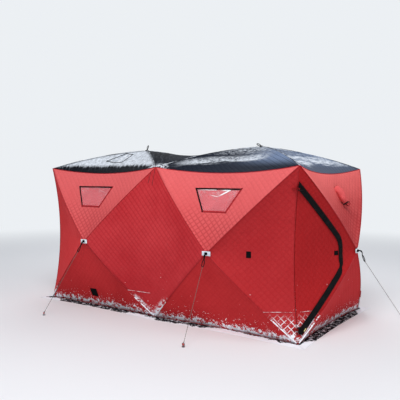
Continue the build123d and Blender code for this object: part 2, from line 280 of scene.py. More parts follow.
def saddle_place(first, second, third, fourth):
    def place(a, s, rise=0.0):
        p, q, r, t = (point + grow * rise for point, grow in (first, second, third, fourth))
        spring = pole_bow * 4 * (a * (1 - a) * ((1 - s) ** 2 + s ** 2) + s * (1 - s) * ((1 - a) ** 2 + a ** 2))
        return p.lerp(q, a).lerp(t.lerp(r, a), s) + first[1].normalized() * spring
    return place


def ripple(a, s, deep, seed):
    edge = min(1.0, 7 * a, 7 * (1 - a)) * min(1.0, 6 * (1 - s), 9 * s)
    along = noise.noise(Vector((a * 7 + seed * 3.1, s * 1.6 + seed, seed * 7.7)))
    soft = noise.noise(Vector((a * 3 - seed, s * 3.5, seed * 2.3)))
    return deep * edge * (0.55 * along * s + 0.6 * soft)


def cut_out(bm, walls, keep_inside):
    """Slices the cloth along each wall plane, then drops one side of the whole outline."""
    for spot, aim in walls:
        bmesh.ops.bisect_plane(bm, geom=bm.verts[:] + bm.edges[:] + bm.faces[:], dist=1e-6,
                               plane_co=spot, plane_no=aim)
    drop = []
    for face in bm.faces:
        heart = face.calc_center_median()
        inside = all((heart - spot).dot(aim) < 0 for spot, aim in walls)
        if inside != keep_inside:
            drop.append(face)
    bmesh.ops.delete(bm, geom=drop, context="FACES")


least_filled, stand_in_filled = 0.31, 0.4


def cloth(name, place, dye, out, nodes=(), body="root", across=48, along=34, start=0.012, end=1.0, rise=0.0,
          deep=0.006, seed=1.0, thick=0.006, keep=None, holes=(), warp=None, bend=None):
    """One panel: a grid stretched over the poles, rippled, cut to its outline and given its thickness."""
    bm = bmesh.new()
    bmesh.ops.create_grid(bm, x_segments=across, y_segments=along, size=0.5)
    marks = bm.verts.layers.float_vector.new("cut")
    p, q, r = place(0, 1), place(1, 1), place(0.5, 0.02)
    e1 = warp[0] if warp else (q - p).normalized()
    e2 = warp[1] if warp else ((r - p) - e1 * (r - p).dot(e1)).normalized()
    for v in bm.verts:
        a, s = v.co.x + 0.5, start + (v.co.y + 0.5) * (end - start)
        spot = place(a, s, rise)
        skin = (place(min(a + 0.01, 1), s) - place(max(a - 0.01, 0), s)).cross(
            place(a, min(s + 0.01, 1)) - place(a, max(s - 0.01, 0.001))).normalized()
        if skin.dot(out) < 0:
            skin.negate()
        v.co = spot + skin * ripple(a, s, deep, seed)
        v[marks] = ((spot - p).dot(e1), (spot - p).dot(e2), 0)
    if keep:
        cut_out(bm, keep, True)
    for hole in holes:
        cut_out(bm, hole, False)
    chart = bm.loops.layers.uv.new("cloth")
    for face in bm.faces:
        for loop in face.loops:
            loop[chart].uv = loop.vert[marks][:2]
    if bend:
        for v in bm.verts:
            v.co = bend(v.co)
    bm.normal_update()
    if sum((f.normal.dot(out) * f.calc_area() for f in bm.faces)) < 0:
        bmesh.ops.reverse_faces(bm, faces=bm.faces[:])
    size = sum(f.calc_area() for f in bm.faces)
    spread = [[v[marks][i] for v in bm.verts] for i in (0, 1)]
    wide, tall = (max(row) - min(row) for row in spread)
    piece = hang(name, bm, dye, body)
    shell = piece.modifiers.new("thickness", "SOLIDIFY")
    shell.thickness = thick
    shell.offset = -1
    if nodes:
        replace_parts(piece, *nodes)
    # The area declared is this mesh's own, so the tool's test for stretched cloth compares it with itself.
    # Where this mesh's area fills too little of its box, the measured height is replaced by one worked out from the
    # area. It is no real size.
    if size / (wide * tall) < least_filled:
        tall = size / wide / stand_in_filled
    min(size, wide * tall)
    return piece


quilt = 0.048


def stitching(dye, chart, one_way=0.0):
    """Rows of stitches that cross in diamonds: how puffed the wadding is, and where the thread runs."""
    u, v, _ = dye.axes(chart)
    pitch = math.pi / quilt / 1.414
    rows = abs(((u + v) * pitch).wave())
    files = abs(((u - v) * pitch).wave())
    nearest = rows.least(files + one_way)
    return (rows * (files + one_way)) ** 0.45, nearest


def red_quilt(name, deep, pale, frost_and_sheen_veil, laced=False, one_way=0.0, painted_light_rise=None, shaded=(0.0, 1.0, 0.22, 0.22)):
    """Red cloth with snow caught low down. Where a rise is given, it is painted paler towards the eaves: painted light.
    The veil share adds pale speckle and puffs, partly frost and partly painted sheen, and painted shade darkens the
    stitch valleys.
    """
    dye = Dye(name, "red_cloth", Base_Color=pale, Roughness=0.85, Specular_IOR_Level=0.06)
    chart, spot = dye.place("UV"), dye.place()
    px, py, pz = dye.axes(spot)
    puff, nearest = stitching(dye, chart, one_way)
    crumple = dye.mottle(spot, 8, 5, 0.6)
    dye.relief(puff * (0.28 + max(shaded[2:]) * 0.5) + crumple * 0.6 + dye.mottle(chart, 700, 2) * 0.05, 0.009, 0.65)
    mottle_and_painted_light = dye.mottle(spot, 1.6, 5, 0.62).fade(0.28, 0.76)
    # Painted light: with a rise given, the cloth turns paler with height, leaning towards the front where the light
    # falls.
    if painted_light_rise:
        lean, dark, light = painted_light_rise
        mottle_and_painted_light = (mottle_and_painted_light * 0.25 + (pz - py * lean).fade(dark, light) * 0.80).least(1)
    tone = dye.blend(mottle_and_painted_light, deep, pale)
    # The veil share sets pale speckle and pale puffs, partly frost and partly painted sheen.
    grain = dye.mottle(spot, 130, 3, 0.7).fade(0.45, 0.9)
    tone = dye.blend(grain * (0.06 + frost_and_sheen_veil), tone, (0.86, 0.30, 0.31))
    # Painted shade in the stitch valleys and a painted highlight on the puffs; the shaded numbers set how strong both
    # are, changing with height.
    start, finish, share_low, share_high = shaded
    depth = share_low + pz.fade(start, finish) * (share_high - share_low)
    tone = dye.blend((1 - nearest.fade(0.0, 0.60)) * depth * (0.10 + crumple * 0.50), tone, (0.20, 0.008, 0.012))
    tone = dye.blend(puff.fade(0.40, 0.95) * depth * (0.04 + frost_and_sheen_veil * 0.5) * crumple, tone, (0.95, 0.34, 0.35))
    low = 1 - pz.fade(0.020, 0.150)
    clump = dye.mottle(spot, 19, 5, 0.75)
    snow = (clump + low * 0.24).fade(0.685, 0.725) * (1 - pz.fade(0.16, 0.26))
    splash = (dye.mottle(spot, 36, 4, 0.75) + (1 - pz.fade(0.05, 0.30)) * 0.12).fade(0.70, 0.74)
    snow = snow.most(splash * (1 - pz.fade(0.22, 0.42)))
    snow = snow.most(dye.mottle(spot, 42, 1, 0.5).fade(0.79, 0.81) * (1 - pz.fade(0.45, 0.62)) * 0.8)
    if laced:
        corner = 1 - (((px - half_l) ** 2 + (py + half_w) ** 2) ** 0.5).fade(0.20, 0.40)
        lace = (1 - nearest.fade(0.05, 0.34)) * dye.mottle(spot, 19, 4, 0.7).fade(0.40, 0.52)
        snow = snow.most(lace.most(dye.mottle(spot, 55, 3, 0.75).fade(0.60, 0.68)) * (1 - pz.fade(0.19, 0.30)) * corner)
        drift = (1 - (pz * 1.06 - abs(px)).fade(0.03, 0.11)) * (1 - pz.fade(0.20, 0.30)) * (1 - abs(px).fade(0.3, 0.4))
        snow = snow.most(dye.mottle(spot, 21, 4, 0.7).fade(0.47, 0.53) * drift)
    dye.wear(Base_Color=dye.blend(snow, tone, (0.94, 0.95, 1.0)), Roughness=0.78 + snow * 0.15)
    return dye


# The red dyes are lit and shaded copies of one cloth: the upper and end triangles are painted lighter (painted light),
# and the corner and door panels by the door are painted darker (painted shade).
red_top_painted_light = red_quilt("quilted_red_top", (0.62, 0.066, 0.070), (0.76, 0.132, 0.134), 0.16, painted_light_rise=(0.0, 0.85, 1.70),
                    shaded=(1.12, 1.40, 0.80, 0.10))
red_end_painted_light = red_quilt("quilted_red_end", (0.36, 0.020, 0.023), (0.84, 0.165, 0.158), 0.14, painted_light_rise=(0.18, 1.10, 1.72),
                    shaded=(1.15, 1.55, 0.80, 0.20))
red_mid = red_quilt("quilted_red_middle", (0.48, 0.021, 0.028), (0.60, 0.040, 0.048), 0.05, True, 0.22,
                    shaded=(0.35, 0.95, 0.25, 0.60))
red_side = red_quilt("quilted_red_side", (0.66, 0.036, 0.040), (0.76, 0.056, 0.060), 0.03)
red_corner_painted_shade = red_quilt("quilted_red_corner", (0.41, 0.018, 0.022), (0.46, 0.026, 0.030), 0.03, True)
red_door_painted_shade = red_quilt("quilted_red_door", (0.36, 0.012, 0.014), (0.41, 0.015, 0.017), 0.02, True)
red_low = red_quilt("quilted_red_low", (0.49, 0.023, 0.026), (0.60, 0.034, 0.038), 0.02)

# Roof: the same quilt in slate grey. Snow lies on the left bay and along the ridge, and has slid off
# in ragged tongues above the eaves; the saddle between the two hubs holds only specks of rime.
roof = Dye("quilted_roof", "roof_cloth", Base_Color=(0.05, 0.06, 0.075), Roughness=0.9, Specular_IOR_Level=0.03)
chart, spot = roof.place("UV"), roof.place()
px, py, pz = roof.axes(spot)
puff, nearest = stitching(roof, chart)
roof.relief(puff * 0.8 + roof.mottle(spot, 9, 5, 0.6) * 0.7, 0.008, 0.6)
side_left = 1 - (abs(px + half_l / 2) - abs(py)).fade(-0.05, 0.02)
side_right = 1 - (abs(px - half_l / 2) - abs(py)).fade(-0.05, 0.02)
ends = 1 - (abs(py) - abs(px) + half_l / 2).fade(-0.05, 0.02)
saddle_part = 1 - side_left.most(side_right).most(ends)
blown = roof.stretch(spot, (1, 1, 1), (0, 0, math.radians(-34.7)))
streaks = roof.mottle(roof.stretch(blown, (11.0, 1.2, 1.5)), 2.6, 4, 0.7)
wisps = roof.mottle(roof.stretch(blown, (1.0, 3.0, 14.0)), 2.2, 5, 0.7)
fine = roof.mottle(roof.stretch(spot, (1.6, 1.0, 3.0)), 15, 5, 0.75)
speck = roof.mottle(spot, 34, 5, 0.8)
rime = (pz + (streaks - 0.5) * 0.10).fade(1.762, 1.806) * side_left * (0.52 + fine.fade(0.34, 0.62) * 0.46)
rime = rime.most((pz + (wisps - 0.5) * 0.16).fade(1.760, 1.830) * ends * (wisps + fine * 0.5).fade(0.60, 0.95)
                 * (1 - pz.fade(1.87, 1.95) * 0.85) * 0.95)
slant = pz + (wisps - 0.5) * 0.15 - px * 0.07
belt = slant.fade(1.735, 1.775) * (1 - slant.fade(1.800, 1.850))
drifted = belt * px.fade(0.10, 0.4) * (1 - px.fade(1.05, 1.35)) * (fine + wisps * 0.7).fade(0.62, 0.98) * 0.75
ridge = (pz + (wisps - 0.5) * 0.12).fade(1.890, 1.970) * (fine + speck).fade(0.86, 1.14) * 0.65
rime = rime.most(drifted.most(ridge) * side_right)
crest = (pz + (wisps - 0.5) * 0.2).fade(1.93, 1.99) * px.fade(-0.1, 0.3) * 0.8
rime = rime.most(saddle_part * (speck.fade(0.66, 0.76) * 0.22).most(crest))
clump = 1 - ((px * 0.75) ** 2 + (abs(py) - half_w) ** 2).fade(0.004, 0.020)
rime = rime.most(clump * fine.fade(0.46, 0.54))
slate = roof.blend(px.fade(-0.5, 0.7), (0.004, 0.005, 0.008), (0.014, 0.018, 0.030))
smears = (1 - px.fade(-0.4, 0.3)) * streaks.fade(0.48, 0.66) * pz.fade(1.70, 1.77) * 0.2
slate = roof.blend(smears, slate, (0.20, 0.23, 0.28))
# Painted sheen: a pale blue-grey band on the upper part of the right bay.
slate = roof.blend(px.fade(0.7, 1.5) * pz.fade(1.74, 1.86) * 0.85, slate, (0.20, 0.27, 0.42))
slate = roof.blend(ends * px.fade(0.5, 1.5) * 0.6, slate, (0.14, 0.17, 0.24))
# Painted shade in the stitch valleys.
slate = roof.blend((1 - nearest.fade(0.0, 0.36)) * 0.5, slate, (0.004, 0.005, 0.008))
roof.wear(Base_Color=roof.blend(rime.least(1), slate, (0.76, 0.81, 0.88)), Roughness=0.80 + rime * 0.15)


def outline_walls(points, normal):
    """Cutting planes round a convex outline given as points in order."""
    heart = sum(points, Vector()) / len(points)
    walls = []
    for p, q in zip(points, points[1:] + points[:1]):
        aim = (q - p).cross(normal).normalized()
        if aim.dot(heart - p) > 0:
            aim.negate()
        walls.append((p, aim))
    return walls


def grown(walls, amount):
    return [(spot + aim * amount, aim) for spot, aim in walls]


window_slide = {(-1, -1): -0.060, (1, -1): -0.025, (-1, 1): 0.0, (1, 1): 0.0}


def window_walls(sx, sy, amount=0.0):
    points = [Vector((sx * bay / 2 + window_slide[sx, sy] + x, 0, z)) for x, z in
              ((-0.130, 1.276), (0.152, 1.276), (0.278, 1.508), (-0.272, 1.508))]
    return grown(outline_walls(points, Vector((0, 1, 0))), amount)


def skylight_walls(amount=0.0):
    points = [Vector((-bay / 2 + x, y, 0)) for x, y in
              ((-0.290, -0.490), (-0.040, -0.475), (-0.090, -0.195), (-0.180, -0.215))]
    return grown(outline_walls(points, Vector((0, 0, 1))), amount)


level, upward = Vector((1, 0, 0)), Vector((0, 0, 1))
seed = 0.0
for word, sy in (("front", -1), ("back", 1)):
    outward = Vector((0, sy, 0))
    for hand, sx, left, right in (("left", -1, -1, 0), ("right", 1, 0, 1)):
        seed += 1.7
        middle = hub["side", sx, sy]
        cloth("cloth_" + word + "_upper_" + hand, fan_place(middle, eave_side(left, right, sy)), red_top_painted_light, outward,
              [word + "_upper_" + hand], seed=seed, holes=[window_walls(sx, sy)])
        cloth("cloth_" + word + "_lower_" + hand, fan_place(middle, base_side(left, right, sy)), red_low, outward,
              [word + "_lower_" + hand], seed=seed + 0.6)
        opening = [skylight_walls()] if (sx, sy) == (-1, -1) else []
        cloth("cloth_roof_" + word + "_" + hand, fan_place(hub["roof", sx], eave_side(left, right, sy)), roof,
              upward, ["roof_" + word + "_" + hand], seed=seed + 0.9, holes=opening)
    cloth("cloth_" + word + "_diamond", saddle_place(hub["side", -1, sy], crown[0, sy], hub["side", 1, sy],
                                                     toe[0, sy]), red_mid, outward, [word + "_diamond"],
          across=52, along=52, start=0.0, seed=seed + 1.1, warp=(level, upward))
for hand, sx in (("left", -1), ("right", 1)):
    seed += 1.3
    outward = Vector((sx, 0, 0))
    cloth("cloth_end_upper_" + hand, fan_place(hub["end", sx], eave_end(sx)), red_end_painted_light, outward,
          ["end_upper_" + hand], seed=seed)
    cloth("cloth_end_lower_" + hand, fan_place(hub["end", sx], base_end(sx)), red_low, outward,
          ["end_lower_" + hand], seed=seed + 0.5)
    cloth("cloth_roof_end_" + hand, fan_place(hub["roof", sx], eave_end(sx)), roof, upward,
          ["roof_end_" + hand], seed=seed + 0.8)
cloth("cloth_roof_diamond", saddle_place(hub["roof", -1], crown[0, -1], hub["roof", 1], crown[0, 1]), roof,
      upward, ["roof_diamond"], across=52, along=52, start=0.0, seed=9.4, warp=(level, Vector((0, 1, 0))))
for word, sy in (("front", -1), ("back", 1)):
    for hand, sx in (("left", -1), ("right", 1)):
        seed += 0.9
        corner = "corner_" + word + "_" + hand
        # The right corners take the red painted darker: painted shade.
        red = red_side if sx < 0 else red_corner_painted_shade
        cloth("cloth_" + corner, fan_place(hub["side", sx, sy], upright(sx, sy)), red,
              Vector((sx, sy * 2, 0)), [corner], seed=seed)
        if (sx, sy) != (1, -1):
            cloth("cloth_" + corner + "_turned", fan_place(hub["end", sx], upright(sx, sy)), red,
                  Vector((sx * 2, sy, 0)), [corner], seed=seed + 0.4)

# Door: a zipped leaf of the same quilt in the corner wall, with a rounded nose towards the end hub.
# It hangs at the door corner, and a black storm flap sewn to its edge covers the zip all the way round.
span = math.hypot(half_w, wall_pop)
inward = Vector((wall_pop, half_w, 0)) / span
facing = Vector((half_w, -wall_pop, 0)) / span
door_foot = Vector((half_l, -half_w, 0))
door_top, door_bottom, door_reach, door_nose = wall_high - 0.172, 0.074, span - 0.262, 0.220
up_slope, low_slope = 0.945 * (wall_high - hub_high) / span, hub_high / span
door_wall = fan_place(hub["end", 1], upright(1, -1))
door_end = 1 - 0.0065 / span


def on_door(u, z):
    return door_foot + inward * u + upward * z


def door_walls(amount=0.0):
    """The nose is two round corners on a short upright between the two slanting edges."""
    points = []
    for slope, base, way in ((up_slope, door_top, 1), (low_slope, door_bottom, -1)):
        bend = math.pi / 2 - math.atan(slope)
        heart_z = base - way * door_reach * slope - way * door_nose * math.tan(bend / 2)
        arc = []
        for i in range(6):
            angle = bend * (1 - i / 5)
            arc.append(on_door(door_reach - door_nose * (1 - math.cos(angle)),
                               heart_z + way * door_nose * math.sin(angle)))
        points += arc if way == 1 else arc[::-1]
    points = [on_door(-0.15, door_top + 0.15 * up_slope), *points, on_door(-0.15, door_bottom - 0.15 * low_slope)]
    return grown(outline_walls(points, facing), amount)


# The door cloth is the red painted darker: painted shade.
cloth("cloth_door_surround", door_wall, red_door_painted_shade, facing, ["door_surround_upper", "door_surround_lower"],
      across=64, along=48, seed=4.2, deep=0.003, holes=[door_walls(0.0025)])
cloth("cloth_door_leaf", door_wall, red_door_painted_shade, facing, ["door_panel"], "door", 64, 48, 0.05, door_end,
      seed=4.2, deep=0.003, keep=door_walls(-0.0025))

storm = Dye("storm_flap_black", "black_webbing", Base_Color=(0.003, 0.003, 0.004), Roughness=0.7,
            Specular_IOR_Level=0.10)
chart = storm.place("UV")
u, v, _ = storm.axes(chart)
ribs = ((u + v) * 2400).wave() * ((u - v) * 2400).wave()
storm.relief(ribs * 0.4 + storm.mottle(chart, 28, 4, 0.6), 0.0018, 0.6)
storm.wear(Base_Color=storm.blend(storm.mottle(chart, 14, 5, 0.7).fade(0.45, 0.75), (0.0015, 0.0015, 0.002),
                                  (0.006, 0.007, 0.009)),
           Roughness=0.55 + storm.mottle(chart, 40, 3) * 0.3)
pinch = on_door(0.667, 0.703)
pinch_run = (inward * 0.45 + upward * 0.89).normalized()
pinch_side = pinch_run.cross(facing).normalized()


def pinched(spot):
    """Two zips meet under the flap's nose, and the flap is drawn narrow there."""
    away = spot - pinch
    share = math.exp(-(away.dot(pinch_run) / 0.030) ** 2) if away.length < 0.12 else 0.0
    return spot - pinch_side * (away.dot(pinch_side) * 0.62 * share)


flap_run = (inward + upward * low_slope).normalized() * -1
flap_side = flap_run.cross(facing).normalized()
flap_tip = on_door(0.028, door_bottom + 0.028 * low_slope)
flap_end = [(flap_tip, flap_run)] + [(flap_tip + flap_side * (0.013 * way), (flap_run + flap_side * way).normalized())
                                     for way in (-1, 1)]
below = (on_door(0, 0.5), upward)
cloth("storm_flap", door_wall, storm, facing, ["door_storm_flap"], "door", 90, 60, 0.05, door_end,
      rise=0.0078, deep=0.003, seed=4.2, thick=0.0026, keep=door_walls(0.028),
      holes=[door_walls(-0.028)] + [[(spot, -aim), below] for spot, aim in flap_end], bend=pinched)
cloth("storm_flap_seat", door_wall, storm, facing, (), "door", 90, 60, 0.05, door_end,
      rise=0.0052, deep=0.003, seed=4.2, thick=0.0048, keep=door_walls(-0.004),
      holes=[door_walls(-0.012), [(flap_tip - flap_run * 0.012, -flap_run), below]])


def door_seat(across, high, rise):
    """The spot on the leaf at this distance from the hinge corner and this height, found by closing in."""
    a, s, step = 0.5, 0.5, 0.25
    def miss(a, s):
        away = door_wall(a, s, rise) - door_foot
        return (away.dot(inward) - across) ** 2 + (away.z - high) ** 2
    while step > 1e-5:
        best = min(((miss(a + i * step, s + j * step), a + i * step, s + j * step)
                    for i in (-1, 0, 1) for j in (-1, 0, 1)))
        if (best[1], best[2]) == (a, s):
            step /= 2
        a, s = best[1:]
    return door_wall(a, s, rise)


def frame_at(spot, x, y, z):
    return Matrix.Translation(spot) @ Matrix((x, y, z)).transposed().to_4x4()


def block(bm, matrix, size, edge, steps=2):
    """A bevelled box of the given size at one place, joined into bm."""
    made = bmesh.ops.create_cube(bm, size=1)
    bmesh.ops.scale(bm, vec=size, verts=made["verts"])
    edges = list({e for v in made["verts"] for e in v.link_edges})
    fresh = bmesh.ops.bevel(bm, geom=edges, offset=edge, segments=steps, profile=0.5, affect="EDGES",
                            material=-1)
    verts = list({v for f in fresh["faces"] for v in f.verts} | {v for v in made["verts"] if v.is_valid})
    bmesh.ops.transform(bm, matrix=matrix, verts=verts)
    return verts


# Zip pull: a small moulded yellow tag on the lower slider.
# It lies on the flap near its rounded end.
pull_dye = Dye("zip_pull_yellow", "yellow_plastic", Base_Color=(0.80, 0.62, 0.16), Roughness=0.4)
spot = pull_dye.place()
pull_dye.relief(pull_dye.mottle(spot, 600, 2), 0.0004, 0.5)
pull_dye.wear(Base_Color=pull_dye.blend(pull_dye.mottle(spot, 90, 4).fade(0.35, 0.7), (0.72, 0.52, 0.10),
                                        (0.90, 0.80, 0.42)))
tag = bmesh.new()
tag_turn = [(inward * math.cos(x) + upward * math.sin(x)) for x in (math.radians(42), math.radians(132))]
tag_at = door_seat(0.096, 0.135, 0.0098)
block(tag, frame_at(tag_at, tag_turn[0], tag_turn[1], facing), (0.030, 0.013, 0.0032), 0.0014, 3)
block(tag, frame_at(tag_at + facing * 0.0018 + tag_turn[0] * 0.009, tag_turn[0], tag_turn[1], facing),
      (0.008, 0.008, 0.0022), 0.0008)
block(tag, frame_at(tag_at - tag_turn[0] * 0.018 - facing * 0.0006, tag_turn[0], tag_turn[1], facing),
      (0.010, 0.009, 0.0040), 0.0014)
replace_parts(hang("zip_tag", tag, pull_dye, "door"), "zip_pull")

# Hinges: slim brackets at the door corner. The dark ears on the leaf, hidden against its storm flap, turn on pins held
# by red tabs on the front; the tabs are dyed a deep red to read as the corner's shade (painted shade).
hinge_dyes = {}
for word, tone, slot, base, rough, shine, low, high in (
        ("ears", "hinge_dark", "black_plastic", (0.012, 0.012, 0.014), 0.85, 0.06,
         (0.009, 0.009, 0.010), (0.022, 0.022, 0.025)),
        # The tabs' deep red is painted shade.
        ("tabs", "hinge_red_painted_shade", "red_cloth", (0.26, 0.010, 0.013), 0.8, 0.1,
         (0.20, 0.007, 0.009), (0.30, 0.014, 0.017))):
    dye = Dye(tone, slot, Base_Color=base, Roughness=rough, Specular_IOR_Level=shine)
    spot = dye.place()
    dye.relief(dye.mottle(spot, 420, 3), 0.0005, 0.5)
    dye.wear(Base_Color=dye.blend(dye.mottle(spot, 50, 4).fade(0.35, 0.7), low, high))
    hinge_dyes[word] = dye
front_in = Vector((-half_w, -wall_pop, 0)) / span
front_face = Vector((wall_pop, -half_w, 0)) / span
bracket, bracket_thick = ((-4, -8), (-5, 0), (0, 5), (6, 4), (78, -22), (78, -40), (30, -50), (30, -30)), 0.006
hinge_x, hinge_y = half_l - 0.002, -half_w + 0.002
for word, run, face, body, heights in (("ears", inward, facing, "door", (1.504, 0.154)),
                                       ("tabs", front_in, front_face, "root", (1.522, 0.136))):
    plates = bmesh.new()
    for low in heights:
        rim = [plates.verts.new(door_foot + run * (x / 1000) + face * (y / 1000) + upward * low) for x, y in bracket]
        risen = bmesh.ops.extrude_face_region(plates, geom=[plates.faces.new(rim)])["geom"]
        bmesh.ops.translate(plates, vec=(0, 0, bracket_thick),
                            verts=[g for g in risen if isinstance(g, bmesh.types.BMVert)])
    if word == "tabs":
        for middle in (1.513, 0.152):
            bmesh.ops.create_cone(plates, cap_ends=True, segments=16, radius1=0.003, radius2=0.003, depth=0.032,
                                  matrix=Matrix.Translation((hinge_x, hinge_y, middle)))
    bmesh.ops.recalc_face_normals(plates, faces=plates.faces[:])
    piece = hang("hinge_" + word, plates, hinge_dyes[word], body, False)
    soften = piece.modifiers.new("edges", "BEVEL")
    soften.width = 0.0008
    soften.segments = 2
    if word == "tabs":
        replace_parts(piece, "hinge_tabs")

# Windows: soft clear film sewn into each upper triangle and into one roof slope, with a red cover zipped shut behind
# each wall window. Black tape runs along the top and left edges only, where the recessed frame is seen in shade: partly
# real tape, partly painted shade; the bottom and right edges get a red hem.
film = Dye("clear_film", "clear_film", Base_Color=(0.86, 0.55, 0.58), Roughness=0.2, Alpha=0.30, IOR=1.45,
           Specular_IOR_Level=0.25)
spot = film.place()
px, py, pz = film.axes(spot)


def crease_glint(x1, z1, x2, z2, wide):
    """A painted highlight along a crease in the film between two spots of the front right window, soft at its sides."""
    long = math.hypot(x2 - x1, z2 - z1)
    ax, az = (x2 - x1) / long, (z2 - z1) / long
    away_x, away_z = px - x1, pz - z1
    along = (away_x * ax + away_z * az).most(0).least(long)
    off = ((away_x - along * ax) ** 2 + (away_z - along * az) ** 2) ** 0.5
    return (1 - off.fade(wide * 0.4, wide)) * (1 - (along / long).fade(0.55, 1.0) * 0.75)


pane = bay / 2 - 0.025
sag_line = film.mottle(film.stretch(spot, (1.0, 1.0, 1.6)), 5.5, 3, 0.5, 0.8)
# Painted reflections on the film: glare arcs where it sags, glints along its creases on the front right window and
# shine along its top edge, each turning the film white and less clear.
arcs = (1 - abs(sag_line - 0.5).fade(0.004, 0.022)) * pz.fade(1.34, 1.46) * 0.22
crease_glints = crease_glint(pane + 0.135, 1.492, pane + 0.005, 1.428, 0.011).most(
    crease_glint(pane + 0.005, 1.428, pane - 0.10, 1.446, 0.007) * 0.6)
crease_glints = crease_glints.most(crease_glint(pane + 0.150, 1.497, pane + 0.030, 1.496, 0.009)).most(
    crease_glint(pane - 0.030, 1.498, pane - 0.260, 1.500, 0.006) * 0.9)
crease_glints = crease_glints * px.fade(0.0, 0.1) * (1 - py.fade(-0.1, 0.0))
rim_shine = film.mottle(spot, 24, 4, 0.6).fade(0.52, 0.72) * pz.fade(1.490, 1.502)
glare = arcs.most(crease_glints).most(rim_shine * 0.6).least(1)
film.relief(sag_line + film.mottle(spot, 16, 3) * 0.3, 0.010, 0.4)
film.wear(Base_Color=film.blend(glare, (0.84, 0.30, 0.33), (0.97, 0.97, 0.98)), Alpha=0.24 + glare * 0.72)
cover_dye = Dye("window_cover", "red_cloth", Base_Color=(0.70, 0.10, 0.12), Roughness=0.9, Specular_IOR_Level=0.06)
spot = cover_dye.place()
cover_dye.relief(cover_dye.mottle(spot, 12, 4) + cover_dye.mottle(spot, 400, 2) * 0.1, 0.004, 0.4)
cover_dye.wear(Base_Color=cover_dye.blend(cover_dye.mottle(spot, 6, 4).fade(0.3, 0.7), (0.66, 0.082, 0.098),
                                          (0.82, 0.145, 0.165)))
webbing = Dye("black_webbing", "black_webbing", Base_Color=(0.004, 0.004, 0.005), Roughness=0.85,
              Specular_IOR_Level=0.08)
spot = webbing.place()
threads = webbing.add("TexWave", {"bands_direction": "DIAGONAL"}, {"Vector": spot, "Scale": 260, "Distortion": 1.5})
webbing.relief(threads + webbing.mottle(spot, 300, 2) * 0.4, 0.0008, 0.6)
webbing.wear(Base_Color=webbing.blend(threads * webbing.mottle(spot, 30, 3), (0.0015, 0.0015, 0.002),
                                      (0.008, 0.008, 0.010)))
hem_dye = Dye("red_hem", "red_cloth", Base_Color=(0.40, 0.018, 0.024), Roughness=0.8, Specular_IOR_Level=0.08)
spot = hem_dye.place()
hem_dye.relief(hem_dye.mottle(spot, 260, 3), 0.0008, 0.5)
hem_dye.wear(Base_Color=hem_dye.blend(hem_dye.mottle(spot, 9, 3), (0.30, 0.012, 0.018), (0.46, 0.034, 0.040)))


def strip(walls, from_wall, wide, inner):
    """One straight edge of a window: the band between the outline and the same edge moved out."""
    spot, aim = walls[from_wall]
    return [(spot + aim * wide, aim), (spot + aim * inner, -aim)]


for (sx, sy) in window_slide:
    word = ("front" if sy < 0 else "back") + ("_left" if sx < 0 else "_right")
    slope = fan_place(hub["side", sx, sy], eave_side(min(sx, 0), max(sx, 0), sy))
    outward = Vector((0, sy, 0))
    cloth("film_" + word, slope, film, outward, ["window_panes"], across=64, along=60, rise=-0.0015,
          deep=0.003, seed=2.2 + sx, thick=0.0014, keep=window_walls(sx, sy, 0.004))
    cloth("cover_" + word, slope, cover_dye, outward, ["window_covers"], across=64, along=60, rise=-0.0056,
          deep=0.0, seed=3.1 + sx, thick=0.0016, keep=window_walls(sx, sy, 0.020))
    edges = window_walls(sx, sy)
    for at, kind in enumerate(("bottom", "right", "top", "left")):
        # Top and left edges: black tape, partly painted shade of the recess.
        black = kind in ("top", "left")
        band = strip(edges, at, 0.011 if black else 0.015, -0.004) + window_walls(sx, sy, 0.0115 if black else 0.0155)
        cloth("edge_" + kind + "_" + word, slope, webbing if black else hem_dye, outward,
              ["black_tapes"] if black else (), across=64, along=60, rise=0.0016, deep=0.0, thick=0.0016, keep=band)
roof_slope = fan_place(hub["roof", -1], eave_side(-1, 0, -1))
frosted = Dye("frosted_film", "clear_film", Base_Color=(0.72, 0.76, 0.82), Roughness=0.5, Alpha=0.85,
              Specular_IOR_Level=0.1)
spot = frosted.place()
ice = frosted.mottle(spot, 26, 5, 0.7)
frosted.relief(ice, 0.004, 0.5)
frosted.wear(Base_Color=frosted.blend(ice.fade(0.4, 0.6), (0.42, 0.47, 0.54), (0.84, 0.87, 0.92)),
             Alpha=0.78 + ice * 0.2)
cloth("film_roof", roof_slope, frosted, upward, ["window_panes"], across=64, along=64, rise=-0.0015, deep=0.0,
      thick=0.0014, keep=skylight_walls(0.004))
cloth("tape_roof", roof_slope, webbing, upward, ["black_tapes"], across=64, along=64, rise=0.0016, deep=0.0,
      thick=0.0016, keep=skylight_walls(0.009), holes=[skylight_walls(-0.003)])

# Black patches of hook tape sewn to the walls: one each side of the door corner to hold the rolled leaf,
# and a skewed one low on the front wall that closes a cable hole.


def patch_walls(heart, run, face, wide, high):
    points = [heart + run * (wide / 2 * i) + upward * (high / 2 * j) for i, j in ((-1, -1), (1, -1), (1, 1), (-1, 1))]
    return outline_walls(points, face)


